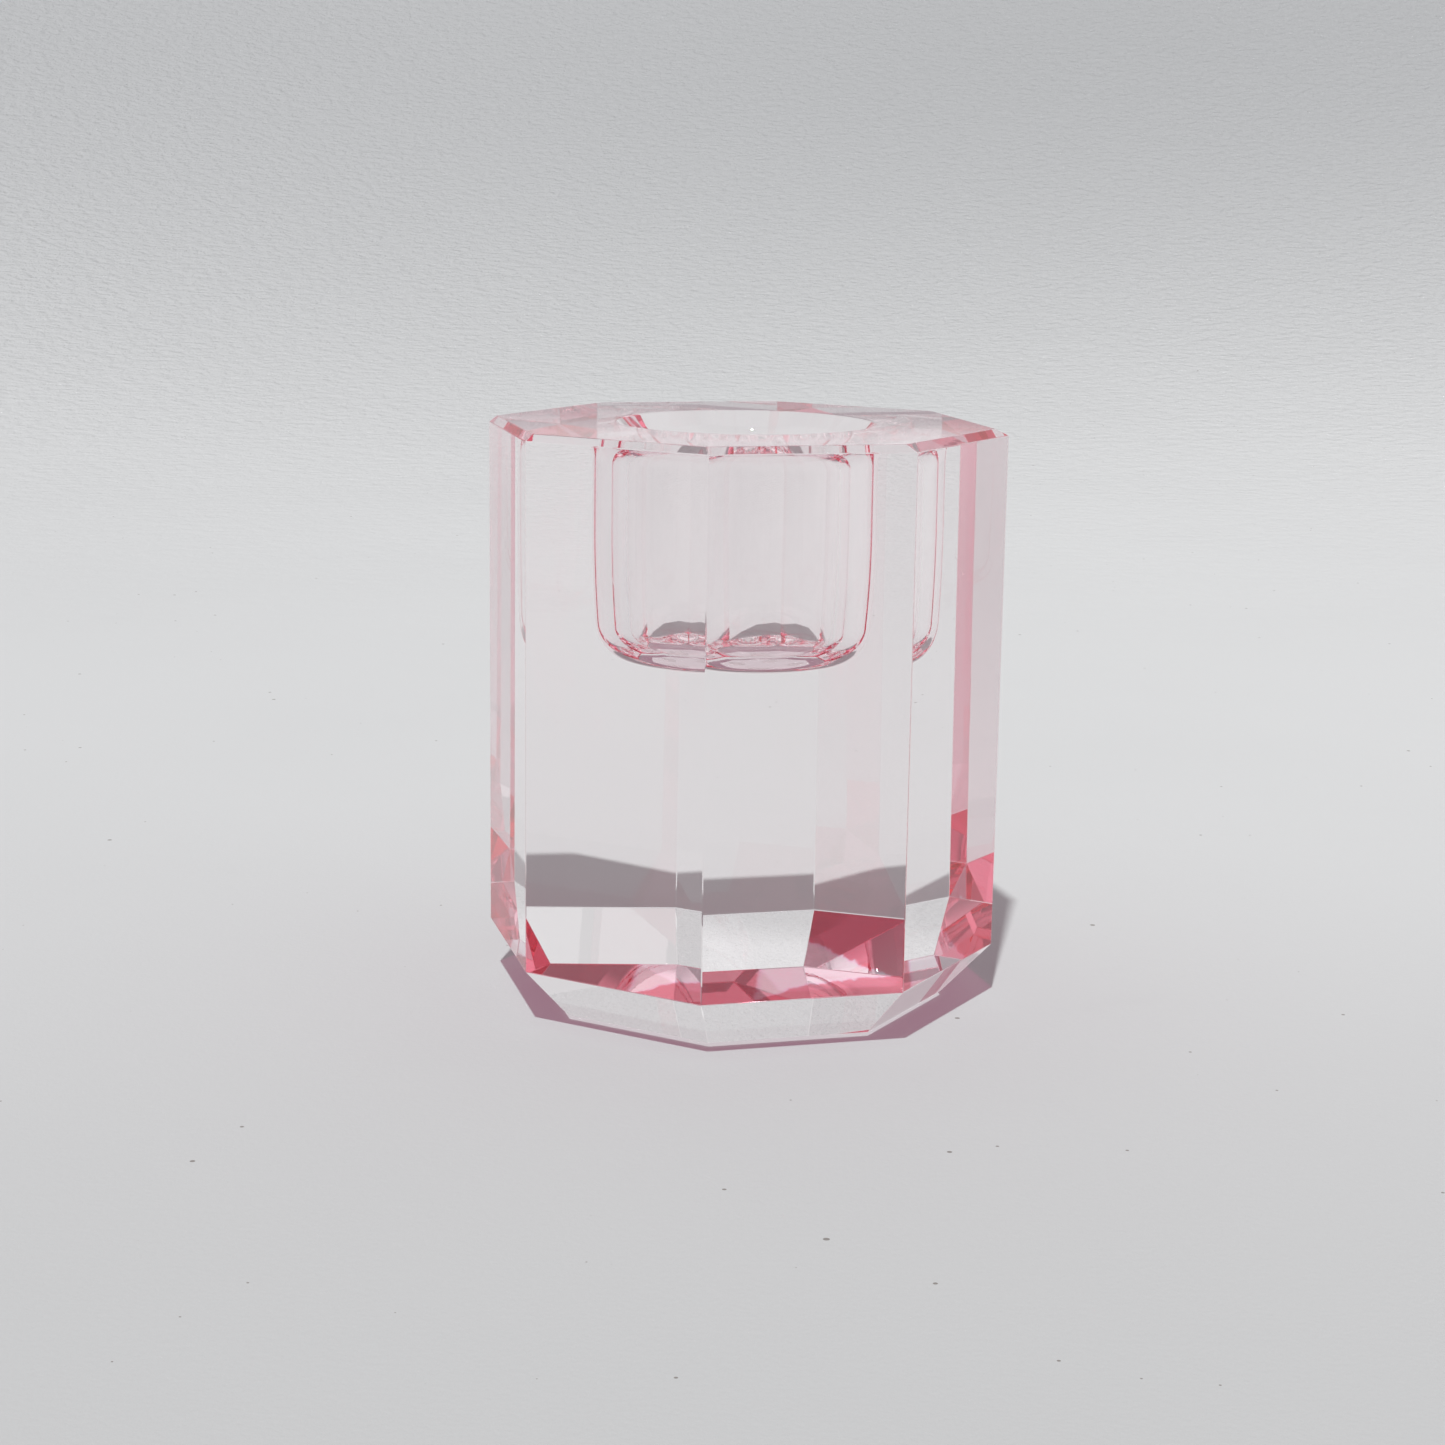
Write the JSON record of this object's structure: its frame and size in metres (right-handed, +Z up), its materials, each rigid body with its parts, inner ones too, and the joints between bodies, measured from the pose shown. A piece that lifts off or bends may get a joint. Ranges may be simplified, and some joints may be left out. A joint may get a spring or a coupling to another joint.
{
  "type": "candlestick",
  "caption": "Faceted crystal candlestick: octagonal bevelled glass block with a round candle cup sunk in its top face, resting on clear bumper pads.",
  "frame": {"origin": "on the resting plane under the block's axis, which is also the cup's axis", "axes": "+Z up along the block's axis, out of the candle cup; -Y is the outward normal of the front facet, +X that of the right facet"},
  "size_m": [0.05, 0.05, 0.0605],
  "materials": {
    "crystal": "polished cut crystal, pale rose tint",
    "bumper": "clear soft polyurethane, smooth"
  },
  "bodies": {
    "root": {"crystal_block": "crystal", "front_bumper": "bumper", "right_bumper": "bumper", "back_bumper": "bumper", "left_bumper": "bumper"}
  },
  "joints": []
}
